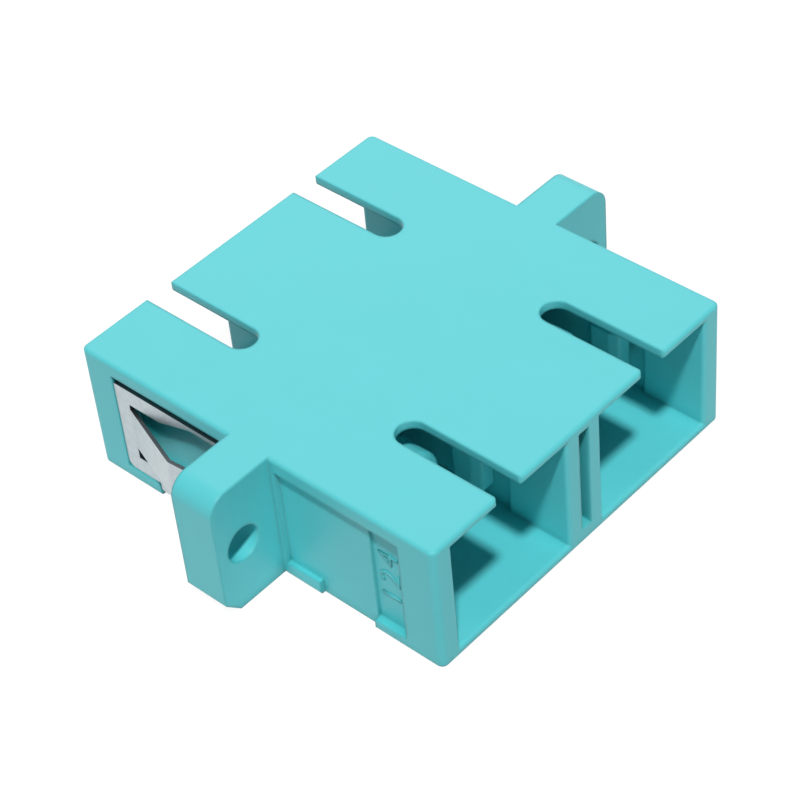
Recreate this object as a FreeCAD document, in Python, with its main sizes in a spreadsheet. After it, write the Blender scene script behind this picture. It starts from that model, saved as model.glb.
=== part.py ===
import FreeCAD, Part
import math
import os

import Sketcher

# Duplex adapter for push-pull fibre plugs, in millimetres.
# +X runs across the two ports, +Y along the plugs' axes towards the rear mouths, +Z up.
# The origin is the middle of the underside, so the housing stands on Z = 0.

SIZES = {
    "body_width": 25.4,
    "body_length": 27.4,
    "body_height": 9.2,
    "body_corner_radius": 0.45,
    "body_edge_radius": 0.2,
    "port_pitch": 12.7,
    "port_width": 9.7,
    "floor_thickness": 0.58,
    "roof_thickness": 0.58,
    "mouth_length": 4.5,
    "mouth_radius": 0.25,
    "bay_relief": 0.3,
    "bay_start": 2.0,
    "key_width": 2.0,
    "key_length": 8.05,
    "front_key_corner": 0.3,
    "rear_key_corner": 0.2,
    "slit_width": 0.85,
    "slit_length": 7.8,
    "slit_margin": 0.5,
    "shoulder_height": 0.35,
    "shoulder_length": 0.6,
    "snap_height": 0.2,
    "snap_length": 0.7,
    "flange_width": 34.7,
    "flange_thickness": 3.1,
    "flange_top_radius": 1.3,
    "flange_foot_chamfer": 1.05,
    "hole_margin": 2.0,
    "hole_diameter": 2.4,
    "seat_depth": 0.34,
    "seat_top_margin": 1.0,
    "seat_flange_margin": 0.35,
    "front_seat_end_margin": 2.65,
    "rear_seat_end_margin": 2.4,
    "ledge_length": 2.55,
    "ledge_height": 1.0,
    "front_lip_length": 2.4,
    "front_lip_height": 0.75,
    "rear_lip_length": 2.65,
    "rear_lip_height": 0.95,
    "marking_depth": 0.2,
    "relief_depth": 0.45,
    "clip_sheet": 0.25,
    "clip_clearance": 0.04,
    "clip_bend_radius": 0.3,
    "clip_top_gap": 0.5,
    "clip_corner_radius": 0.6,
    "window_end_margin": 1.1,
    "window_rear_margin": 1.15,
    "window_front_margin": 0.3,
    "window_neck_length": 2.5,
    "window_wide_length": 2.0,
    "window_foot": 2.2,
    "tongue_bottom": 3.0,
    "tongue_height": 3.15,
    "tongue_flange_gap": 1.7,
    "tongue_rise": 1.75,
    "tongue_tip_length": 2.0,
    "tongue_tip_drop": 0.15,
    "tongue_bend_radius": 0.5,
    "latch_clearance": 0.05,
    "latch_base_thickness": 1.2,
    "arm_inner_gap": 7.1,
    "arm_thickness": 0.8,
    "arm_height": 3.0,
    "arm_reach": 8.55,
    "arm_root_radius": 0.4,
    "hook_gap": 6.1,
    "hook_length": 1.95,
    "hook_lead": 0.6,
    "hook_rake": 0.15,
    "sleeve_bore": 2.5,
    "sleeve_outer": 3.2,
    "sleeve_length": 11.4,
    "sleeve_slit": 0.5,
    "sleeve_chamfer": 0.15,
    "sleeve_clearance": 0.05,
    "holder_outer": 4.6,
    "holder_lip_bore": 2.9,
    "holder_lip_thickness": 0.65,
    "holder_chamfer": 0.25,
    "peg_diameter": 0.9,
    "peg_length": 0.6,
    "peg_clearance": 0.05,
    "peg_side": 3.4,
    "peg_rise": 2.5,
    "cut_overrun": 1.0,
}


class Size:
    """A length with its value now and the formula that the sheet keeps it by."""

    def __init__(self, value, text):
        self.value = value
        self.text = text

    def joined(self, sign, other, value):
        other_text = other.text if isinstance(other, Size) else repr(other)
        return Size(value, "(" + self.text + " " + sign + " " + other_text + ")")

    def __add__(self, other):
        return self.joined("+", other, self.value + plain(other))

    def __sub__(self, other):
        return self.joined("-", other, self.value - plain(other))

    def __mul__(self, other):
        return self.joined("*", other, self.value * plain(other))

    def __truediv__(self, other):
        return self.joined("/", other, self.value / plain(other))

    def __neg__(self):
        return Size(-self.value, "(0 - " + self.text + ")")


def plain(size):
    return size.value if isinstance(size, Size) else size


def fill_sheet(doc):
    sheet = doc.addObject("Spreadsheet::Sheet", "sizes")
    for row, (name, value) in enumerate(SIZES.items(), start=1):
        sheet.set("A" + str(row), name)
        sheet.set("B" + str(row), str(value))
        sheet.setAlias("B" + str(row), name)
    doc.recompute()


class Sheet:
    """The driving dimensions, each read by its name."""

    def __getattr__(self, name):
        return Size(SIZES[name], "sizes." + name)


doc = FreeCAD.newDocument("duplex_adapter")
fill_sheet(doc)
s = Sheet()
zero = Size(0.0, "0")

half_width = s.body_width / 2
half_length = s.body_length / 2
half_flange = s.flange_thickness / 2
port_centre = s.port_pitch / 2
port_floor = s.floor_thickness
port_ceiling = s.body_height - s.roof_thickness
port_height = port_ceiling - port_floor
port_axis = port_floor + port_height / 2
mouth_start = half_length - s.mouth_length

seat_top = s.body_height - s.seat_top_margin
seat_start = half_flange + s.seat_flange_margin
ledge_end = seat_start + s.ledge_length
strap_depth = s.clip_sheet + s.clip_clearance * 2
strap_end = half_length - s.rear_seat_end_margin - s.rear_lip_length
cheek_start = seat_start + s.clip_clearance
cheek_end = half_length - s.rear_seat_end_margin - s.clip_clearance
cheek_top = seat_top - s.clip_top_gap
window_start = cheek_start + s.window_end_margin
window_top = cheek_top - s.window_front_margin
hinge = cheek_end - s.window_end_margin


def bind(item, name, size):
    item.setExpression(name, size.text)


def origin_plane(body, role):
    return next(part for part in body.Origin.OriginFeatures if part.Role == role)


def new_sketch(body, name, role, offset=zero):
    """Sketch on one of the body's own planes, lifted along its normal (+Z, -Y or +X)."""
    sketch = body.newObject("Sketcher::SketchObject", name)
    sketch.AttachmentSupport = [(origin_plane(body, role), "")]
    sketch.MapMode = "FlatFace"
    sketch.AttachmentOffset = FreeCAD.Placement(FreeCAD.Vector(0, 0, offset.value), FreeCAD.Rotation())
    bind(sketch, "AttachmentOffset.Base.z", offset)
    return sketch


def constrain(sketch, constraint, size):
    index = sketch.addConstraint(constraint)
    name = "size_" + str(index)
    sketch.renameConstraint(index, name)
    bind(sketch, "Constraints." + name, size)


def pin_x(sketch, geometry, end, x):
    constrain(sketch, Sketcher.Constraint("DistanceX", -1, 1, geometry, end, x.value), x)


def pin_y(sketch, geometry, end, y):
    constrain(sketch, Sketcher.Constraint("DistanceY", -1, 1, geometry, end, y.value), y)


def arc_between(start, end, centre):
    """Arc that turns anticlockwise from start to end."""
    radius = math.hypot(start[0].value - centre[0].value, start[1].value - centre[1].value)
    angles = [math.atan2(p[1].value - centre[1].value, p[0].value - centre[0].value) for p in (start, end)]
    if angles[1] < angles[0]:
        angles[1] += 2 * math.pi
    middle = FreeCAD.Vector(centre[0].value, centre[1].value, 0)
    circle = Part.Circle(middle, FreeCAD.Vector(0, 0, 1), radius)
    return Part.ArcOfCircle(circle, angles[0], angles[1])


def outline(sketch, points, arcs=None):
    """Closed outline through points; arcs maps the index of an arc's first point to its centre and turn."""
    arcs = arcs or {}
    first = sketch.GeometryCount
    ends = []
    for index, start in enumerate(points):
        end = points[(index + 1) % len(points)]
        if index in arcs:
            centre, anticlockwise = arcs[index]
            pair = (start, end) if anticlockwise else (end, start)
            geometry = sketch.addGeometry(arc_between(pair[0], pair[1], centre), False)
            ends.append((1, 2) if anticlockwise else (2, 1))
        else:
            corner_a = FreeCAD.Vector(start[0].value, start[1].value, 0)
            corner_b = FreeCAD.Vector(end[0].value, end[1].value, 0)
            sketch.addGeometry(Part.LineSegment(corner_a, corner_b), False)
            ends.append((1, 2))
    for index, (x, y) in enumerate(points):
        following = (index + 1) % len(points)
        joint = Sketcher.Constraint("Coincident", first + index, ends[index][1],
                                    first + following, ends[following][0])
        sketch.addConstraint(joint)
        pin_x(sketch, first + index, ends[index][0], x)
        pin_y(sketch, first + index, ends[index][0], y)
    for index, (centre, anticlockwise) in arcs.items():
        start, end = points[index], points[(index + 1) % len(points)]
        across = abs(end[0].value - start[0].value)
        up = abs(end[1].value - start[1].value)
        if across > up:
            pin_y(sketch, first + index, 3, centre[1])
        else:
            pin_x(sketch, first + index, 3, centre[0])


def rectangle(sketch, left, right, low, high):
    outline(sketch, [(left, low), (right, low), (right, high), (left, high)])


def circle(sketch, x, y, diameter):
    middle = FreeCAD.Vector(x.value, y.value, 0)
    round_edge = Part.Circle(middle, FreeCAD.Vector(0, 0, 1), diameter.value / 2)
    geometry = sketch.addGeometry(round_edge, False)
    constrain(sketch, Sketcher.Constraint("Diameter", geometry, diameter.value), diameter)
    pin_x(sketch, geometry, 3, x)
    pin_y(sketch, geometry, 3, y)


def finish_feature(feature, label):
    feature.Label = label
    doc.recompute()
    if "Invalid" in feature.State or "Error" in feature.State:
        raise RuntimeError(label + " failed")
    return feature


def pad(body, sketch, length, label, symmetric=False, reverse=False):
    feature = body.newObject("PartDesign::Pad", label)
    feature.Profile = sketch
    feature.SideType = "Symmetric" if symmetric else "One side"
    feature.Reversed = reverse
    bind(feature, "Length", length)
    sketch.Visibility = False
    return finish_feature(feature, label)


def pocket(body, sketch, length, label, symmetric=False, reverse=False):
    """Cut to a depth; without reverse it runs against the sketch's normal."""
    before = body.Shape.Volume
    feature = body.newObject("PartDesign::Pocket", label)
    feature.Profile = sketch
    feature.SideType = "Symmetric" if symmetric else "One side"
    feature.Reversed = reverse
    bind(feature, "Length", length)
    sketch.Visibility = False
    finish_feature(feature, label)
    if body.Shape.Volume >= before:
        raise RuntimeError(label + " cuts nothing")
    return feature


def mirror(body, features, role, label):
    """Repeat features on the other side of one of the body's own planes."""
    feature = body.newObject("PartDesign::Mirrored", label)
    feature.Originals = features
    feature.MirrorPlane = (origin_plane(body, role), [""])
    body.Tip = feature
    return finish_feature(feature, label)


def soften(body, kind, edge_test, size_name, size, label):
    """Fillet or chamfer every edge of the body that passes the test."""
    base = body.Tip
    names = ["Edge" + str(index) for index, edge in enumerate(base.Shape.Edges, start=1) if edge_test(edge)]
    if not names:
        raise RuntimeError(label + " finds no edge")
    feature = body.newObject("PartDesign::" + kind, label)
    feature.Base = (base, names)
    bind(feature, size_name, size)
    return finish_feature(feature, label)


def fillet(body, edge_test, radius, label):
    return soften(body, "Fillet", edge_test, "Radius", radius, label)


def chamfer(body, edge_test, size, label):
    return soften(body, "Chamfer", edge_test, "Size", size, label)


def near(value, size):
    return abs(value - size.value) < 1e-4


def runs_along(edge, axis):
    """True for a straight edge parallel to the axis x, y or z."""
    ends = [vertex.Point for vertex in edge.Vertexes]
    if len(ends) != 2 or edge.Curve.TypeId != "Part::GeomLine":
        return False
    others = [name for name in "xyz" if name != axis]
    return all(abs(getattr(ends[0], name) - getattr(ends[1], name)) < 1e-6 for name in others)


def lies_in(edge, axis, value):
    """True for an edge whose every end has this coordinate."""
    return all(abs(getattr(vertex.Point, axis) - value) < 1e-4 for vertex in edge.Vertexes)


# Housing


def add_shell(body):
    """Outer block with rounded corners, and the flange across its middle."""
    plan = new_sketch(body, "block_plan", "XY_Plane")
    rectangle(plan, -half_width, half_width, -half_length, half_length)
    pad(body, plan, s.body_height, "block")
    fillet(body, lambda edge: runs_along(edge, "z"), s.body_corner_radius, "block_corners")
    rim = lambda edge: lies_in(edge, "z", 0.0) or lies_in(edge, "z", s.body_height.value)
    fillet(body, rim, s.body_edge_radius, "block_edges")

    ear_edge = s.flange_width / 2
    foot_start = ear_edge - s.flange_foot_chamfer
    round_start = ear_edge - s.flange_top_radius
    round_foot = s.body_height - s.flange_top_radius
    front_view = new_sketch(body, "flange_outline", "XZ_Plane")
    outline(front_view, [
        (-foot_start, zero), (foot_start, zero), (ear_edge, s.flange_foot_chamfer), (ear_edge, round_foot),
        (round_start, s.body_height), (-round_start, s.body_height), (-ear_edge, round_foot),
        (-ear_edge, s.flange_foot_chamfer),
    ], {3: ((round_start, round_foot), True), 5: ((-round_start, round_foot), True)})
    pad(body, front_view, s.flange_thickness, "flange", symmetric=True)


def add_ports(body):
    """Two through ports with a wider bay round each pair of hooks."""
    front_view = new_sketch(body, "port_outline", "XZ_Plane")
    for centre in (-port_centre, port_centre):
        rectangle(front_view, centre - s.port_width / 2, centre + s.port_width / 2, port_floor, port_ceiling)
    pocket(body, front_view, s.body_length + s.cut_overrun, "ports", symmetric=True)

    def on_mouth(edge):
        return lies_in(edge, "y", -half_length.value) or lies_in(edge, "y", half_length.value)

    def inner(edge):
        middle = edge.CenterOfMass
        inside_height = port_floor.value - 0.01 < middle.z < port_ceiling.value + 0.01
        outer_wall = port_centre.value + s.port_width.value / 2 + 0.01
        return inside_height and abs(middle.x) < outer_wall

    fillet(body, lambda edge: on_mouth(edge) and inner(edge), s.mouth_radius, "mouth_edges")

    bay = new_sketch(body, "bay_outline", "XZ_Plane", s.bay_start)
    for centre in (-port_centre, port_centre):
        reach = s.port_width / 2 + s.bay_relief
        rectangle(bay, centre - reach, centre + reach, port_floor, port_ceiling)
    cut = pocket(body, bay, mouth_start - s.bay_start, "hook_bays", reverse=True)
    mirror(body, [cut], "XZ_Plane", "rear_hook_bays")


def add_keyways(body):
    """Open slots in the top wall over each port, with a round inner end and flared mouth corners."""
    plan = new_sketch(body, "keyway_plan", "XY_Plane", s.body_height)
    key_radius = s.key_width / 2
    end_centre = half_length - s.key_length + key_radius
    beyond = half_length + s.cut_overrun
    for centre in (-port_centre, port_centre):
        for front in (True, False):
            side = (lambda y: -y) if front else (lambda y: y)
            flare = s.front_key_corner if front else s.rear_key_corner
            flare_start = half_length - flare
            left = centre - key_radius
            right = centre + key_radius
            left_flare = left - flare
            right_flare = right + flare
            points = [
                (left, side(end_centre)), (left, side(flare_start)), (left_flare, side(half_length)),
                (left_flare, side(beyond)), (right_flare, side(beyond)), (right_flare, side(half_length)),
                (right, side(flare_start)), (right, side(end_centre)),
            ]
            arcs = {
                1: ((left_flare, side(flare_start)), not front),
                5: ((right_flare, side(flare_start)), not front),
                7: ((centre, side(end_centre)), front),
            }
            outline(plan, points, arcs)
    pocket(body, plan, s.body_height - port_axis, "keyways")


def add_divider_slits(body):
    """The wall between the ports is cored from each mouth, so that it moulds without a sink mark."""
    front_view = new_sketch(body, "slit_outline", "XZ_Plane", half_length)
    rectangle(front_view, -s.slit_width / 2, s.slit_width / 2, port_floor + s.slit_margin, port_ceiling)
    cut = pocket(body, front_view, s.slit_length, "divider_slit")
    mirror(body, [cut], "XZ_Plane", "rear_divider_slit")


def add_latch_stops(body):
    """Square shoulders behind the rear latches and ramped ribs that snap over the front ones."""
    section = new_sketch(body, "stop_section", "YZ_Plane")
    stop = s.latch_base_thickness + s.latch_clearance
    for face, into in ((port_floor, s.shoulder_height), (port_ceiling, -s.shoulder_height)):
        rectangle(section, stop, stop + s.shoulder_length, face, face + into)
    for face, into in ((port_floor, s.snap_height), (port_ceiling, -s.snap_height)):
        outline(section, [(-stop, face), (-stop, face + into), (-stop - s.snap_length, face)])
    pad(body, section, s.port_pitch + s.port_width, "latch_stops", symmetric=True)


def seat_outline(sketch, side, end_margin, lip_length, lip_height):
    """Side view of a clip seat: open at the bottom between a ledge by the ear and a lip at its far end."""
    end = half_length - end_margin
    lip_start = end - lip_length
    below = -s.cut_overrun
    outline(sketch, [
        (side(seat_start), seat_top), (side(seat_start), s.ledge_height),
        (side(ledge_end), s.ledge_height), (side(ledge_end), below),
        (side(lip_start), below), (side(lip_start), lip_height),
        (side(end), lip_height), (side(end), seat_top),
    ])


def add_side_seats(body):
    """Sunk seats for a panel clip in both side walls.

    The front ones have a deeper marking pocket, and the rear ones a relief that the clip's tongues fold into.
    """
    flank = new_sketch(body, "seat_outline", "YZ_Plane", half_width)
    front = lambda y: -y
    rear = lambda y: y
    seat_outline(flank, front, s.front_seat_end_margin, s.front_lip_length, s.front_lip_height)
    seat_outline(flank, rear, s.rear_seat_end_margin, s.rear_lip_length, s.rear_lip_height)
    seats = pocket(body, flank, s.seat_depth, "clip_seats")

    flank = new_sketch(body, "marking_outline", "YZ_Plane", half_width)
    end = half_length - s.front_seat_end_margin
    rectangle(flank, -end, -end + s.front_lip_length, s.front_lip_height, seat_top)
    marking = pocket(body, flank, s.seat_depth + s.marking_depth, "marking_pocket")

    flank = new_sketch(body, "relief_outline", "YZ_Plane", half_width)
    rectangle(flank, window_start, hinge, s.window_foot, window_top)
    relief = pocket(body, flank, s.seat_depth + s.relief_depth, "tongue_relief")
    mirror(body, [seats, marking, relief], "YZ_Plane", "other_side_seats")

    groove = new_sketch(body, "strap_outline", "YZ_Plane")
    rectangle(groove, ledge_end, strap_end, -s.cut_overrun, strap_depth)
    pocket(body, groove, s.body_width + s.cut_overrun, "strap_groove", symmetric=True)
    seat_wall = half_width - s.seat_depth

    def under_bend(edge):
        on_wall = near(abs(edge.CenterOfMass.x), seat_wall)
        return on_wall and runs_along(edge, "y") and lies_in(edge, "z", strap_depth.value)

    fillet(body, under_bend, s.clip_bend_radius - s.clip_clearance, "strap_corners")


def add_flange_holes(body):
    front_view = new_sketch(body, "hole_centres", "XZ_Plane")
    reach = s.flange_width / 2 - s.hole_margin
    for x in (-reach, reach):
        circle(front_view, x, s.body_height / 2, s.hole_diameter)
    pocket(body, front_view, s.flange_thickness + s.cut_overrun, "flange_holes", symmetric=True)


def make_housing():
    body = doc.addObject("PartDesign::Body", "housing")
    body.Label = "housing"
    add_shell(body)
    add_ports(body)
    add_keyways(body)
    add_divider_slits(body)
    add_latch_stops(body)
    add_side_seats(body)
    add_flange_holes(body)
    return body


# Panel clip


def make_panel_clip():
    """One folded sheet: a cheek in each rear side seat, joined by a strap under the housing."""
    body = doc.addObject("PartDesign::Body", "panel_clip")
    body.Label = "panel_clip"
    inner = half_width - s.seat_depth + s.clip_clearance
    outer = inner + s.clip_sheet
    strap_top = strap_depth - s.clip_clearance
    strap_bottom = strap_top - s.clip_sheet
    strap_from = ledge_end + s.clip_clearance
    strap_to = strap_end - s.clip_clearance

    front_view = new_sketch(body, "fold_section", "XZ_Plane", -strap_to)
    fold_top = strap_top + s.clip_bend_radius
    inner_turn = inner - s.clip_bend_radius
    points = [
        (-outer, fold_top), (-inner_turn, strap_bottom), (inner_turn, strap_bottom), (outer, fold_top),
        (inner, fold_top), (inner_turn, strap_top), (-inner_turn, strap_top), (-inner, fold_top),
    ]
    arcs = {
        0: ((-inner_turn, fold_top), True),
        2: ((inner_turn, fold_top), True),
        4: ((inner_turn, fold_top), False),
        6: ((-inner_turn, fold_top), False),
    }
    outline(front_view, points, arcs)
    pad(body, front_view, strap_to - strap_from, "strap")

    flank = new_sketch(body, "cheek_outline", "YZ_Plane", inner)
    over_ledge = s.ledge_height + s.clip_clearance
    over_lip = s.rear_lip_height + s.clip_clearance
    corner = s.clip_corner_radius
    outline(flank, [
        (cheek_start, over_ledge), (strap_from, over_ledge), (strap_from, over_lip),
        (cheek_end - corner, over_lip), (cheek_end, over_lip + corner),
        (cheek_end, cheek_top), (cheek_start, cheek_top),
    ], {3: ((cheek_end - corner, over_lip + corner), True)})
    cheek = pad(body, flank, s.clip_sheet, "cheek")
    flank = new_sketch(body, "skirt_outline", "YZ_Plane", inner)
    rectangle(flank, strap_from, strap_to, fold_top, over_ledge)
    skirt = pad(body, flank, s.clip_sheet, "skirt")

    neck = hinge - s.window_neck_length
    slope = window_start + s.window_wide_length
    narrow = cheek_top - s.window_rear_margin
    flank = new_sketch(body, "window_outline", "YZ_Plane", outer)
    outline(flank, [
        (window_start, s.window_foot), (hinge, s.window_foot), (hinge, narrow),
        (neck, narrow), (slope, window_top), (window_start, window_top),
    ])
    window = pocket(body, flank, s.clip_sheet, "window")

    tip = half_flange + s.tongue_flange_gap
    knee = tip + s.tongue_tip_length
    knee_outer = outer + s.tongue_rise
    tip_outer = knee_outer - s.tongue_tip_drop
    plan = new_sketch(body, "tongue_plan", "XY_Plane", s.tongue_bottom)
    outline(plan, [
        (inner, hinge), (outer, hinge), (knee_outer, knee), (tip_outer, tip),
        (tip_outer - s.clip_sheet, tip), (knee_outer - s.clip_sheet, knee),
    ])
    tongue = pad(body, plan, s.tongue_height, "tongue")

    mirror(body, [cheek, skirt, window, tongue], "YZ_Plane", "other_cheek")

    def at_knee(edge, size):
        middle = edge.CenterOfMass
        return runs_along(edge, "z") and near(abs(middle.x), size) and near(middle.y, knee)

    knee_inner = knee_outer - s.clip_sheet
    outer_radius = s.tongue_bend_radius + s.clip_sheet
    fillet(body, lambda edge: at_knee(edge, knee_outer), outer_radius, "tongue_outer_bends")
    fillet(body, lambda edge: at_knee(edge, knee_inner), s.tongue_bend_radius, "tongue_inner_bends")
    return body


# Latches


def make_latch(name, centre, rear):
    """Half of a port's insert: a plate at mid length, two hooks and half of the sleeve's tube.

    It is drawn reaching towards -Y, and turned half a turn about the port for the rear.
    """
    body = doc.addObject("PartDesign::Body", name)
    body.Label = name
    half_base = s.port_width / 2 - s.latch_clearance
    half_rise = port_height / 2 - s.latch_clearance
    plate = new_sketch(body, "plate_outline", "XZ_Plane")
    rectangle(plate, -half_base, half_base, -half_rise, half_rise)
    pad(body, plate, s.latch_base_thickness, "plate")

    tube_bore = s.sleeve_outer / 2 + s.sleeve_clearance
    tube_outer = s.holder_outer / 2
    sleeve_stop = s.sleeve_length / 2 + s.sleeve_clearance
    tube_end = sleeve_stop + s.holder_lip_thickness
    bore = new_sketch(body, "bore_outline", "XZ_Plane")
    circle(bore, zero, zero, tube_bore * 2)
    pocket(body, bore, s.latch_base_thickness, "plate_bore", reverse=True)

    lip_bore = s.holder_lip_bore / 2
    side_view = new_sketch(body, "tube_section", "XY_Plane")
    outline(side_view, [
        (tube_bore, zero), (tube_outer, zero), (tube_outer, s.holder_chamfer - tube_end),
        (tube_outer - s.holder_chamfer, -tube_end), (lip_bore + s.holder_chamfer, -tube_end),
        (lip_bore, s.holder_chamfer - tube_end), (lip_bore, -sleeve_stop), (tube_bore, -sleeve_stop),
    ])
    tube = body.newObject("PartDesign::Revolution", "tube")
    tube.Profile = side_view
    tube.ReferenceAxis = (side_view, ["V_Axis"])
    tube.Angle = 360
    side_view.Visibility = False
    finish_feature(tube, "tube")

    arm_inner = s.arm_inner_gap / 2
    arm_outer = arm_inner + s.arm_thickness
    hook_inner = s.hook_gap / 2
    catch = s.arm_reach - s.hook_length
    plan = new_sketch(body, "arm_plan", "XY_Plane")
    outline(plan, [
        (arm_outer, zero), (arm_outer, -s.arm_reach), (hook_inner + s.hook_lead / 2, -s.arm_reach),
        (hook_inner, s.hook_lead - s.arm_reach), (hook_inner, -catch), (arm_inner, s.hook_rake - catch),
        (arm_inner, zero),
    ])
    arm = pad(body, plan, s.arm_height, "arm", symmetric=True)
    mirror(body, [arm], "YZ_Plane", "other_arm")

    def at_root(edge):
        on_plate = lies_in(edge, "y", -s.latch_base_thickness.value)
        return on_plate and runs_along(edge, "z") and near(abs(edge.CenterOfMass.x), arm_inner)

    fillet(body, at_root, s.arm_root_radius, "arm_roots")

    front_view = new_sketch(body, "socket_outline", "XZ_Plane")
    circle(front_view, -s.peg_side, s.peg_rise, s.peg_diameter + s.peg_clearance * 2)
    circle(front_view, -s.peg_side, -s.peg_rise, s.peg_diameter + s.peg_clearance * 2)
    pocket(body, front_view, s.peg_length + s.peg_clearance, "peg_sockets", reverse=True)
    front_view = new_sketch(body, "peg_outline", "XZ_Plane")
    circle(front_view, s.peg_side, s.peg_rise, s.peg_diameter)
    circle(front_view, s.peg_side, -s.peg_rise, s.peg_diameter)
    pad(body, front_view, s.peg_length, "pegs", reverse=True)

    turn = 180 if rear else 0
    body.Placement = FreeCAD.Placement(FreeCAD.Vector(), FreeCAD.Rotation(FreeCAD.Vector(0, 0, 1), turn))
    bind(body, "Placement.Base.x", centre)
    bind(body, "Placement.Base.z", port_axis)
    return body


# Sleeves


def make_sleeve(name, centre):
    """Springy tube that lines up two ferrules, split along its top."""
    body = doc.addObject("PartDesign::Body", name)
    body.Label = name
    section = new_sketch(body, "ring_section", "XZ_Plane")
    circle(section, zero, zero, s.sleeve_outer)
    circle(section, zero, zero, s.sleeve_bore)
    pad(body, section, s.sleeve_length, "ring", symmetric=True)
    end = s.sleeve_length.value / 2
    rim = lambda edge: lies_in(edge, "y", end) or lies_in(edge, "y", -end)
    chamfer(body, rim, s.sleeve_chamfer, "ring_ends")
    slit = new_sketch(body, "slit_outline", "XY_Plane")
    half_slit = s.sleeve_slit / 2
    rectangle(slit, -half_slit, half_slit, -s.sleeve_length, s.sleeve_length)
    pocket(body, slit, s.sleeve_outer, "slit", reverse=True)
    body.Placement = FreeCAD.Placement(FreeCAD.Vector(), FreeCAD.Rotation())
    bind(body, "Placement.Base.x", centre)
    bind(body, "Placement.Base.z", port_axis)
    return body


def make_parts():
    parts = [make_housing(), make_panel_clip()]
    for side, centre in (("left", -port_centre), ("right", port_centre)):
        parts.append(make_latch(side + "_front_latch", centre, rear=False))
        parts.append(make_latch(side + "_rear_latch", centre, rear=True))
        parts.append(make_sleeve(side + "_sleeve", centre))
    return parts


def check_parts(parts):
    for item in doc.Objects:
        if "Invalid" in item.State or "Error" in item.State:
            raise RuntimeError(item.Label + " did not recompute")
    for part in parts:
        if part.Shape.isNull() or not part.Shape.isValid() or len(part.Shape.Solids) != 1:
            raise RuntimeError(part.Label + " is not one sound solid")


def write_parts(parts):
    os.makedirs("parts", exist_ok=True)
    for part in parts:
        part.Shape.exportStep(os.path.join("parts", part.Label + ".step"))
        print(part.Label, round(part.Shape.Volume, 2), "mm3")


all_parts = make_parts()
doc.recompute()
check_parts(all_parts)
write_parts(all_parts)
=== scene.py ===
import bpy
import math
from bpy.props import FloatProperty, FloatVectorProperty, PointerProperty, StringProperty
from bpy.types import NodeSocket, Operator, Panel, PropertyGroup
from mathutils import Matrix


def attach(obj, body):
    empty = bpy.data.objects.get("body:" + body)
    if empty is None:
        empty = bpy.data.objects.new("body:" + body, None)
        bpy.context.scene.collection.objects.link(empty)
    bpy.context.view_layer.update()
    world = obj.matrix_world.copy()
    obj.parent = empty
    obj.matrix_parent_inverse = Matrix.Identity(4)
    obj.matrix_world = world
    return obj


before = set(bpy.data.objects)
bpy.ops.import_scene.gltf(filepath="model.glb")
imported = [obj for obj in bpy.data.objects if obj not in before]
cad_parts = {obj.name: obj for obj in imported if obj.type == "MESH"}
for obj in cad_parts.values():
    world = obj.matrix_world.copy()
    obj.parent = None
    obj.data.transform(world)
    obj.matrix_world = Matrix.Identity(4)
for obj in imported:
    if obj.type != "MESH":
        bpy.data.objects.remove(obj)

bl_info = {
    "name": "Duplex fibre adapter",
    "version": (1, 0, 0),
    "blender": (4, 5, 0),
    "location": "3D View > Sidebar > Adapter",
    "description": "Finishes, mould marks and studio for a duplex fibre adapter",
    "category": "Object",
}

MM = 0.001
WHITE = (1, 1, 1, 1)
SIDES = {"left": -1, "right": 1}

# The side walls' distance from the middle, and how high the clip's strap reaches
HALF_WIDTH = 12.7 * MM
STRAP_HEIGHT = 0.6 * MM

# How strongly the effects act
BUMP_HEIGHT = 0.01 * MM
PLASTIC_BUMP = 0.25
PLASTIC_SWING = 0.12
METAL_BUMP = 0.2
METAL_SWING = 0.2
METAL_STRETCH = (12000, 500, 12000)
WORN_SHARE = 0.7
# Where the painted shade in recesses starts, and how fast it deepens
PAINTED_SHADE_START = 0.25
PAINTED_SHADE_GAIN = 1.6
FLAT_FACE = 0.35

# A digit's height over the font's size, and its bevel and its thinning
# as shares of its relief and its height
DIGIT_SHARE = 0.7
BEVEL_SHARE = 0.25
THINNING = 0.02

# The floor's white is a little over 1, which makes up for its grey share
FLOOR_GLOW = 1.12
KEY_PLACE = (-0.3, -0.3, 0.8)
SENSOR_WIDTH = 36


# Sizes and colours that a user would change


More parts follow.
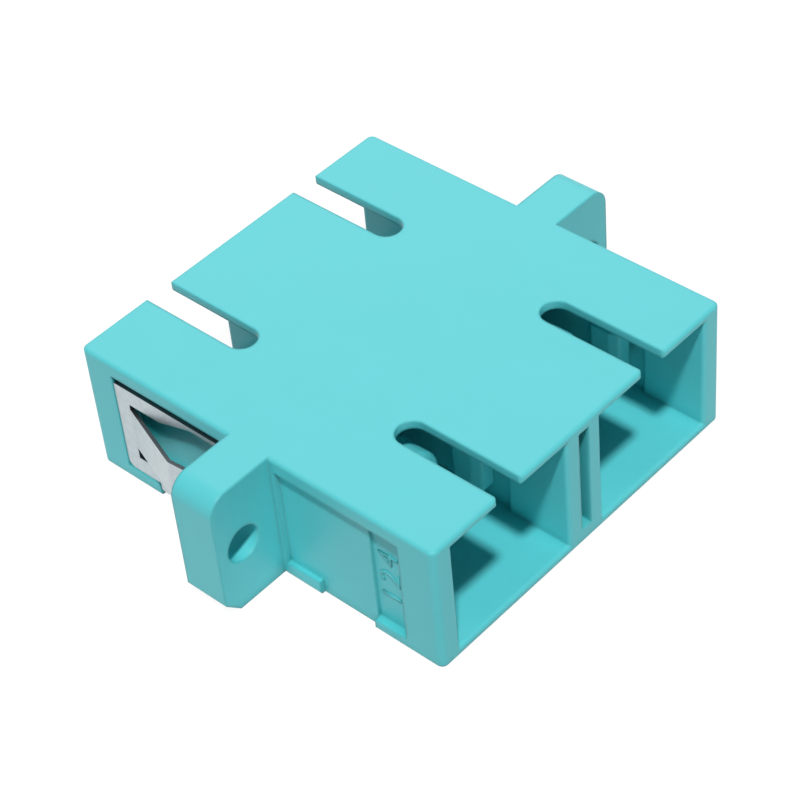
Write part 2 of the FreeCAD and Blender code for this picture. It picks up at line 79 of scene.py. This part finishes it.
class AdapterFinish(PropertyGroup):
    plastic: FloatVectorProperty(
        name="Plastic", description="Colour of the housing and its latches",
        default=(0.128, 0.70, 0.74), size=3, min=0, max=1, subtype="COLOR")
    plastic_shade: FloatVectorProperty(
        name="Plastic shade",
        description="Deeper colour that the moulding drifts to in faint clouds",
        default=(0.106, 0.65, 0.70), size=3, min=0, max=1, subtype="COLOR")
    housing_roughness: FloatProperty(
        name="Housing roughness", description="Roughness of the housing's moulded surface",
        default=0.42, min=0, max=1, subtype="FACTOR")
    latch_roughness: FloatProperty(
        name="Latch roughness", description="Roughness of the latches, whose mould is smoother",
        default=0.35, min=0, max=1, subtype="FACTOR")
    digit_roughness: FloatProperty(
        name="Digit roughness", description="Roughness of the raised digits",
        default=0.37, min=0, max=1, subtype="FACTOR")
    grain_size: FloatProperty(
        name="Grain size", description="Width of one grain of the mould's spark texture",
        default=0.09 * MM, min=0.01 * MM, max=1 * MM, precision=6, unit="LENGTH")
    edge_softness: FloatProperty(
        name="Edge softness", description="Radius to which a moulded edge looks rounded",
        default=0.28 * MM, min=0, max=1 * MM, precision=6, unit="LENGTH")
    # Painted shade: deep in recesses the plastic's colour is darkened towards the recess shade,
    # which stands in for the shade there, not for dust
    recess_reach: FloatProperty(
        name="Recess reach",
        description="How near another wall has to be for the plastic to look deeper",
        default=1.6 * MM, min=0, max=10 * MM, precision=6, unit="LENGTH")
    recess_shade: FloatVectorProperty(
        name="Recess shade",
        description="Colour of the plastic deep in a recess, where dust darkens it",
        default=(0.025, 0.38, 0.395), size=3, min=0, max=1, subtype="COLOR")
    steel: FloatVectorProperty(
        name="Spring steel", description="Colour of the clip's rolled sheet",
        default=(0.58, 0.655, 0.685), size=3, min=0, max=1, subtype="COLOR")
    # Painted shade: the dark colour of the clip's cut edges stands in for the shade on them, not
    # for a mark of the punch
    steel_edge: FloatVectorProperty(
        name="Sheared edge",
        description="Colour of the clip's cut edges, which the punch leaves dark",
        default=(0.12, 0.13, 0.14), size=3, min=0, max=1, subtype="COLOR")
    steel_roughness: FloatProperty(
        name="Steel roughness", description="Roughness of the clip between its rolling streaks",
        default=0.3, min=0, max=1, subtype="FACTOR")
    bronze: FloatVectorProperty(
        name="Bronze", description="Colour of the alignment sleeves",
        default=(0.72, 0.47, 0.24), size=3, min=0, max=1, subtype="COLOR")
    bronze_roughness: FloatProperty(
        name="Bronze roughness",
        description="Roughness of the sleeves between their drawing streaks",
        default=0.2, min=0, max=1, subtype="FACTOR")


class AdapterMarks(PropertyGroup):
    digits: StringProperty(
        name="Digits", description="Plain mould cavity number in the pocket of each side wall",
        default="124")
    height: FloatProperty(
        name="Digit height", description="Height of one digit",
        default=1.5 * MM, min=0.2 * MM, max=3 * MM, precision=6, unit="LENGTH")
    relief: FloatProperty(
        name="Relief", description="How far the digits stand up from the pocket's floor",
        default=0.06 * MM, min=0.02 * MM, max=0.5 * MM, precision=6, unit="LENGTH")
    spacing: FloatProperty(
        name="Spacing",
        description="How far apart the digits stand, where 1 is the font's own step",
        default=1.4, min=0.5, max=3)
    pocket_depth: FloatProperty(
        name="Pocket depth", description="Depth of the pocket's floor below the side wall",
        default=0.54 * MM, min=0, max=1.4 * MM, precision=6, unit="LENGTH")
    pocket_y: FloatProperty(
        name="Pocket place", description="Middle of the pocket along the plugs' axes",
        default=-9.85 * MM, min=-13 * MM, max=13 * MM, precision=6, unit="LENGTH")
    pocket_z: FloatProperty(
        name="Pocket height", description="Middle of the pocket above the underside",
        default=4.5 * MM, min=0, max=9 * MM, precision=6, unit="LENGTH")


class AdapterStudio(PropertyGroup):
    key_strength: FloatProperty(
        name="Key light", description="Strength of the sun that casts the shadows in the ports",
        default=2.46, min=0, max=10)
    key_spread: FloatProperty(
        name="Key spread", description="Angle that the key light fills, which softens its shadows",
        default=math.radians(5), min=0, max=math.pi, subtype="ANGLE")
    key_path: FloatVectorProperty(
        name="Key path", description="Way that the key light travels",
        default=(2.5, 2.4, -7.4), size=3, subtype="XYZ")
    sky: FloatProperty(
        name="Sky", description="Strength of the even light from all round",
        default=0.10, min=0, max=2)
    sky_tint: FloatVectorProperty(
        name="Sky tint", description="Cool colour of the even light, which the shaded faces take",
        default=(0.86, 0.95, 1), size=3, min=0, max=1, subtype="COLOR")
    sheen: FloatProperty(
        name="Sheen light",
        description="Power of the broad lamp behind that lays a soft sheen on the top",
        default=0.56, min=0, max=10, unit="POWER")
    sheen_place: FloatVectorProperty(
        name="Sheen place", description="Where the broad lamp hangs, aimed at the adapter",
        default=(0.26, 0.26, 0.34), size=3, precision=4, subtype="TRANSLATION", unit="LENGTH")
    sheen_width: FloatProperty(
        name="Sheen width", description="Side of the broad lamp's square",
        default=0.34, min=0.01, max=2, unit="LENGTH")
    floor_width: FloatProperty(
        name="Floor width", description="Side of the floor's square",
        default=4, min=0.1, max=20, unit="LENGTH")
    floor_gap: FloatProperty(
        name="Floor gap",
        description="How far the floor lies below the adapter, so that they never flicker",
        default=0.02 * MM, min=0, max=1 * MM, precision=6, unit="LENGTH")
    floor_tone: FloatProperty(
        name="Floor", description="How much of the light on it the floor throws back",
        default=0.64, min=0, max=1, subtype="FACTOR")
    floor_white: FloatProperty(
        name="Floor white", description="Share of plain white in what the camera sees of the floor",
        default=0.85, min=0, max=1, subtype="FACTOR")
    camera_place: FloatVectorProperty(
        name="Camera place", description="Where the camera stands",
        default=(-0.076209, -0.077616, 0.1044), size=3, precision=6,
        subtype="TRANSLATION", unit="LENGTH")
    camera_turn: FloatVectorProperty(
        name="Camera turn", description="How the camera is turned",
        default=(0.81911, 0.07529, -0.84292), size=3, precision=5, subtype="EULER", unit="ROTATION")
    lens: FloatProperty(
        name="Lens", description="Focal length on a 36 mm wide sensor",
        default=111.805, min=10, max=400, unit="CAMERA")


# Node helpers


def new_group(name, inputs, outputs):
    """Shader group with named sockets, and the two nodes that it is entered and left by."""
    group = bpy.data.node_groups.new(name, "ShaderNodeTree")
    for label, kind, value in inputs:
        socket = group.interface.new_socket(name=label, in_out="INPUT", socket_type=kind)
        socket.default_value = value
    for label, kind in outputs:
        group.interface.new_socket(name=label, in_out="OUTPUT", socket_type=kind)
    return group, group.nodes.new("NodeGroupInput"), group.nodes.new("NodeGroupOutput")


def feed(tree, value, socket):
    """Link a socket's value to another socket, or set a plain number or colour on it."""
    if isinstance(value, NodeSocket):
        tree.links.new(value, socket)
    else:
        socket.default_value = value


def math_node(tree, operation, *values):
    """Result of a Math node on numbers or sockets."""
    node = tree.nodes.new("ShaderNodeMath")
    node.operation = operation
    for socket, value in zip(node.inputs, values):
        feed(tree, value, socket)
    return node.outputs["Value"]


def colour_between(tree, factor, first, second):
    """Mix of two colours, each a socket or the RGBA of a plain colour."""
    mix = tree.nodes.new("ShaderNodeMix")
    mix.data_type = "RGBA"
    feed(tree, factor, mix.inputs["Factor"])
    feed(tree, first, mix.inputs["A"])
    feed(tree, second, mix.inputs["B"])
    return mix.outputs["Result"]


def noise(tree, place, scale, detail, roughness=0.5):
    """Noise texture, whose scale is a number or a socket."""
    texture = tree.nodes.new("ShaderNodeTexNoise")
    texture.inputs["Detail"].default_value = detail
    texture.inputs["Roughness"].default_value = roughness
    feed(tree, scale, texture.inputs["Scale"])
    tree.links.new(place, texture.inputs["Vector"])
    return texture.outputs["Fac"]


def object_place(tree):
    return tree.nodes.new("ShaderNodeTexCoord").outputs["Object"]


def axis_part(tree, vector, axis):
    """One coordinate of a vector socket."""
    parts = tree.nodes.new("ShaderNodeSeparateXYZ")
    tree.links.new(vector, parts.inputs["Vector"])
    return parts.outputs[axis]


# Shared effects


def moulded_grain():
    """Faint clouds in the colour and the fine spark texture of a moulded face."""
    group, entry, leave = new_group(
        "moulded_grain",
        [("Grain scale", "NodeSocketFloat", 9000), ("Cloud scale", "NodeSocketFloat", 180)],
        [(label, "NodeSocketFloat") for label in ("Clouds", "Roughness shift", "Height")])
    place = object_place(group)
    clouds = noise(group, place, entry.outputs["Cloud scale"], detail=3, roughness=0.6)
    grain = noise(group, place, entry.outputs["Grain scale"], detail=2)
    shift = math_node(group, "MULTIPLY_ADD", clouds, PLASTIC_SWING, -PLASTIC_SWING / 2)
    group.links.new(clouds, leave.inputs["Clouds"])
    group.links.new(shift, leave.inputs["Roughness shift"])
    group.links.new(grain, leave.inputs["Height"])
    return group


def painted_shade_mask():
    """Mask of painted shade, which grows from 0 on an open face to 1 deep in a recess."""
    group, entry, leave = new_group(
        "painted_shade_mask", [("Reach", "NodeSocketFloat", 1.6 * MM)], [("Depth", "NodeSocketFloat")])
    openness = group.nodes.new("ShaderNodeAmbientOcclusion")
    openness.samples = 8
    group.links.new(entry.outputs["Reach"], openness.inputs["Distance"])
    hidden = math_node(group, "SUBTRACT", 1, openness.outputs["AO"])
    past_start = math_node(group, "SUBTRACT", hidden, PAINTED_SHADE_START)
    depth = math_node(group, "MULTIPLY", past_start, PAINTED_SHADE_GAIN)
    depth.node.use_clamp = True
    group.links.new(depth, leave.inputs["Depth"])
    return group


def rolled_grain():
    """Long fine streaks that rolling or drawing leaves along the metal, and its faint mottle."""
    group, entry, leave = new_group(
        "rolled_grain",
        [("Stretch", "NodeSocketVector", METAL_STRETCH), ("Mottle scale", "NodeSocketFloat", 2600)],
        [("Streaks", "NodeSocketFloat"), ("Mottle", "NodeSocketFloat")])
    place = object_place(group)
    stretch = group.nodes.new("ShaderNodeVectorMath")
    stretch.operation = "MULTIPLY"
    group.links.new(place, stretch.inputs[0])
    group.links.new(entry.outputs["Stretch"], stretch.inputs[1])
    streaks = noise(group, stretch.outputs["Vector"], 1, detail=3)
    mottle = noise(group, place, entry.outputs["Mottle scale"], detail=4)
    group.links.new(streaks, leave.inputs["Streaks"])
    group.links.new(mottle, leave.inputs["Mottle"])
    return group


def place_group(tree, maker, label, value):
    """Node of a shared group, which its maker builds once, with its own value on one input."""
    node = tree.nodes.new("ShaderNodeGroup")
    node.node_tree = bpy.data.node_groups.get(maker.__name__) or maker()
    node.inputs[label].default_value = value
    return node


# Finishes


def new_material(name):
    material = bpy.data.materials.new(name)
    material.use_nodes = True
    tree = material.node_tree
    return material, tree, tree.nodes["Principled BSDF"]


def add_bump(tree, shader, height, strength):
    """Turn a height into the fine unevenness of a surface."""
    bump = tree.nodes.new("ShaderNodeBump")
    bump.inputs["Strength"].default_value = strength
    bump.inputs["Distance"].default_value = BUMP_HEIGHT
    tree.links.new(height, bump.inputs["Height"])
    tree.links.new(bump.outputs["Normal"], shader.inputs["Normal"])
    return bump


def round_edges(tree, bump, radius):
    """Let sharp edges catch the light as if they had a small radius."""
    rounded = tree.nodes.new("ShaderNodeBevel")
    rounded.samples = 6
    rounded.inputs["Radius"].default_value = radius
    tree.links.new(rounded.outputs["Normal"], bump.inputs["Normal"])


def moulded_plastic(name, finish, roughness):
    """Satin moulding with faint clouds, painted shade in its recesses, and soft at its edges."""
    material, tree, shader = new_material(name)
    grain = place_group(tree, moulded_grain, "Grain scale", 1 / finish.grain_size)
    clouded = colour_between(
        tree, grain.outputs["Clouds"], (*finish.plastic_shade, 1), (*finish.plastic, 1))
    recess = place_group(tree, painted_shade_mask, "Reach", finish.recess_reach)
    # Painted shade: the colour darkens towards the recess shade where nearby walls hide the surface
    shaded = colour_between(tree, recess.outputs["Depth"], clouded, (*finish.recess_shade, 1))
    tree.links.new(shaded, shader.inputs["Base Color"])
    uneven = math_node(tree, "ADD", grain.outputs["Roughness shift"], roughness)
    tree.links.new(uneven, shader.inputs["Roughness"])
    shader.inputs["IOR"].default_value = 1.5
    shader.inputs["Specular IOR Level"].default_value = 0.4
    bump = add_bump(tree, shader, grain.outputs["Height"], PLASTIC_BUMP)
    round_edges(tree, bump, finish.edge_softness)
    return material


def sheared_edges(tree, tone, edge_shade_colour):
    """Darken the punched edges of a sheet whose flat faces look along X, above its strap, with
    painted shade.
    """
    normal = tree.nodes.new("ShaderNodeNewGeometry").outputs["True Normal"]
    sideways = math_node(tree, "ABSOLUTE", axis_part(tree, normal, "X"))
    edge = math_node(tree, "LESS_THAN", sideways, FLAT_FACE)
    height = axis_part(tree, object_place(tree), "Z")
    upright = math_node(tree, "GREATER_THAN", height, STRAP_HEIGHT)
    return colour_between(tree, math_node(tree, "MULTIPLY", edge, upright), tone, (*edge_shade_colour, 1))


def rolled_metal(name, colour, roughness, edge_shade_colour=None):
    """Sheet rolled or tube drawn along Y, with fine streaks and a faint mottle."""
    material, tree, shader = new_material(name)
    grain = place_group(tree, rolled_grain, "Stretch", METAL_STRETCH)
    worn = [channel * WORN_SHARE for channel in colour]
    tone = colour_between(tree, grain.outputs["Mottle"], (*worn, 1), (*colour, 1))
    # Painted shade on the clip's cut edges
    if edge_shade_colour is not None:
        tone = sheared_edges(tree, tone, edge_shade_colour)
    tree.links.new(tone, shader.inputs["Base Color"])
    shader.inputs["Metallic"].default_value = 1
    uneven = math_node(tree, "MULTIPLY_ADD", grain.outputs["Streaks"], METAL_SWING, roughness)
    tree.links.new(uneven, shader.inputs["Roughness"])
    add_bump(tree, shader, grain.outputs["Streaks"], METAL_BUMP)
    return material


def dress(node, material):
    """Give a carried-over node its only material."""
    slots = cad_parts[node].data.materials
    slots.clear()
    slots.append(material)


def deselect_all():
    bpy.ops.object.select_all(action="DESELECT")


def close_seams():
    """Join the doubled corners of the active piece, so that its faces close it."""
    bpy.ops.object.mode_set(mode="EDIT")
    bpy.ops.mesh.select_all(action="SELECT")
    bpy.ops.mesh.remove_doubles(threshold=0.001 * MM)
    bpy.ops.object.mode_set(mode="OBJECT")


class ADAPTER_OT_mouldings(Operator):
    """Give the housing and the latches their moulded plastic"""
    bl_idname = "adapter.mouldings"
    bl_label = "Finish mouldings"

    def execute(self, context):
        finish = context.scene.adapter_finish
        dress("housing", moulded_plastic("housing_plastic", finish, finish.housing_roughness))
        latch = moulded_plastic("latch_plastic", finish, finish.latch_roughness)
        for side in SIDES:
            for end in ("front", "rear"):
                dress(side + "_" + end + "_latch", latch)
        return {"FINISHED"}


class ADAPTER_OT_metalwork(Operator):
    """Give the panel clip its rolled steel and the sleeves their drawn bronze"""
    bl_idname = "adapter.metalwork"
    bl_label = "Finish metalwork"

    def execute(self, context):
        finish = context.scene.adapter_finish
        dress("panel_clip", rolled_metal(
            "spring_steel", finish.steel, finish.steel_roughness, finish.steel_edge))
        bronze = rolled_metal("phosphor_bronze", finish.bronze, finish.bronze_roughness)
        for side in SIDES:
            dress(side + "_sleeve", bronze)
        return {"FINISHED"}


def shape_digits(text, marks):
    """Set the height, depth and spacing of a text object's digits."""
    text.body = marks.digits
    text.size = marks.height / DIGIT_SHARE
    text.align_x = "CENTER"
    text.align_y = "CENTER"
    text.extrude = marks.relief
    text.bevel_depth = marks.relief * BEVEL_SHARE
    text.offset = -marks.height * THINNING
    text.space_character = marks.spacing
    text.resolution_u = 6


class ADAPTER_OT_cavity_numbers(Operator):
    """Raise the plain cavity number in the pocket of each side wall"""
    bl_idname = "adapter.cavity_numbers"
    bl_label = "Raise cavity numbers"

    def execute(self, context):
        marks = context.scene.adapter_marks
        finish = context.scene.adapter_finish
        raised = moulded_plastic("raised_plastic", finish, finish.digit_roughness)
        quarter = math.radians(90)
        for side, sign in SIDES.items():
            deselect_all()
            bpy.ops.object.text_add(
                location=(sign * (HALF_WIDTH - marks.pocket_depth), marks.pocket_y, marks.pocket_z),
                rotation=(quarter, quarter * sign, quarter * sign))
            shape_digits(context.object.data, marks)
            bpy.ops.object.convert(target="MESH")
            bpy.ops.object.transform_apply(location=True, rotation=True, scale=True)
            close_seams()
            number = context.object
            number.name = side + "_cavity_number"
            number.data.materials.append(raised)
            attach(number, "root")
        return {"FINISHED"}


# Studio


def seen_rays(tree):
    """Value that is 1 for the camera and for what shows in reflections or through glass."""
    path = tree.nodes.new("ShaderNodeLightPath")
    seen = math_node(tree, "MAXIMUM", path.outputs["Is Camera Ray"], path.outputs["Is Glossy Ray"])
    return math_node(tree, "MAXIMUM", seen, path.outputs["Is Transmission Ray"])


def mix_shaders(tree, factor, first, second, output):
    """Mix two shaders into an output socket."""
    mix = tree.nodes.new("ShaderNodeMixShader")
    tree.links.new(factor, mix.inputs["Fac"])
    tree.links.new(first, mix.inputs[1])
    tree.links.new(second, mix.inputs[2])
    tree.links.new(mix.outputs["Shader"], output)


def lay_floor(studio):
    """Lay a grey floor that takes the light and the shadow, and that looks mostly plain white."""
    deselect_all()
    bpy.ops.mesh.primitive_plane_add(size=studio.floor_width, location=(0, 0, -studio.floor_gap))
    floor = bpy.context.object
    floor.name = "studio_floor"
    material, tree, shader = new_material("pale_floor")
    shader.inputs["Base Color"].default_value = (studio.floor_tone,) * 3 + (1,)
    shader.inputs["Roughness"].default_value = 0.9
    white = tree.nodes.new("ShaderNodeEmission")
    white.inputs["Color"].default_value = WHITE
    white.inputs["Strength"].default_value = FLOOR_GLOW
    shown = math_node(tree, "MULTIPLY", seen_rays(tree), studio.floor_white)
    mix_shaders(tree, shown, shader.outputs["BSDF"], white.outputs["Emission"],
                tree.nodes["Material Output"].inputs["Surface"])
    floor.data.materials.append(material)


def hang_sky(studio):
    """Light the object evenly with a cool sky that looks plain white."""
    world = bpy.data.worlds.new("studio_sky")
    bpy.context.scene.world = world
    world.use_nodes = True
    tree = world.node_tree
    sky = tree.nodes["Background"]
    sky.inputs["Color"].default_value = (*studio.sky_tint, 1)
    sky.inputs["Strength"].default_value = studio.sky
    backdrop = tree.nodes.new("ShaderNodeBackground")
    backdrop.inputs["Color"].default_value = WHITE
    mix_shaders(tree, seen_rays(tree), sky.outputs["Background"], backdrop.outputs["Background"],
                tree.nodes["World Output"].inputs["Surface"])


def turn_along(direction):
    """Turn of a lamp that shines along a direction."""
    x, y, z = direction
    return math.atan2(math.hypot(x, y), -z), 0, math.atan2(-x, y)


def add_lamp(name, kind, energy, place, direction):
    bpy.ops.object.light_add(type=kind, location=place, rotation=turn_along(direction))
    lamp = bpy.context.object
    lamp.name = name
    lamp.data.energy = energy
    return lamp.data


def stand_camera(studio):
    """Stand the camera where it frames the object as the picture does."""
    bpy.ops.object.camera_add(location=studio.camera_place, rotation=studio.camera_turn)
    camera = bpy.context.object
    camera.name = "photo_camera"
    camera.data.lens = studio.lens
    camera.data.sensor_width = SENSOR_WIDTH
    camera.data.clip_start = 5 * MM
    bpy.context.scene.camera = camera


class ADAPTER_OT_studio(Operator):
    """Set up the pale floor, the lights and the camera"""
    bl_idname = "adapter.studio"
    bl_label = "Set up studio"

    def execute(self, context):
        studio = context.scene.adapter_studio
        lay_floor(studio)
        hang_sky(studio)
        key = add_lamp("key_light", "SUN", studio.key_strength, KEY_PLACE, studio.key_path)
        key.angle = studio.key_spread
        towards_adapter = [-step for step in studio.sheen_place]
        sheen = add_lamp("sheen_lamp", "AREA", studio.sheen, studio.sheen_place, towards_adapter)
        sheen.size = studio.sheen_width
        stand_camera(studio)
        context.scene.view_settings.view_transform = "Standard"
        return {"FINISHED"}


class ADAPTER_PT_panel(Panel):
    """Lists the adapter's sizes, colours and steps"""
    bl_label = "Duplex fibre adapter"
    bl_idname = "ADAPTER_PT_panel"
    bl_space_type = "VIEW_3D"
    bl_region_type = "UI"
    bl_category = "Adapter"

    def draw(self, context):
        for name in SETTINGS:
            settings = getattr(context.scene, name)
            box = self.layout.box()
            for value in settings.__annotations__:
                box.prop(settings, value)
        for step in STEPS:
            self.layout.operator(step.bl_idname)


SETTINGS = {
    "adapter_finish": AdapterFinish,
    "adapter_marks": AdapterMarks,
    "adapter_studio": AdapterStudio,
}
STEPS = (ADAPTER_OT_mouldings, ADAPTER_OT_metalwork, ADAPTER_OT_cavity_numbers, ADAPTER_OT_studio)


def register():
    for name, settings in SETTINGS.items():
        bpy.utils.register_class(settings)
        setattr(bpy.types.Scene, name, PointerProperty(type=settings))
    for step in STEPS:
        bpy.utils.register_class(step)
    bpy.utils.register_class(ADAPTER_PT_panel)


def unregister():
    bpy.utils.unregister_class(ADAPTER_PT_panel)
    for step in reversed(STEPS):
        bpy.utils.unregister_class(step)
    for name, settings in SETTINGS.items():
        delattr(bpy.types.Scene, name)
        bpy.utils.unregister_class(settings)


def main():
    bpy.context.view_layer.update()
    register()
    bpy.ops.adapter.mouldings()
    bpy.ops.adapter.metalwork()
    bpy.ops.adapter.cavity_numbers()
    bpy.ops.adapter.studio()


if __name__ == "__main__":
    main()
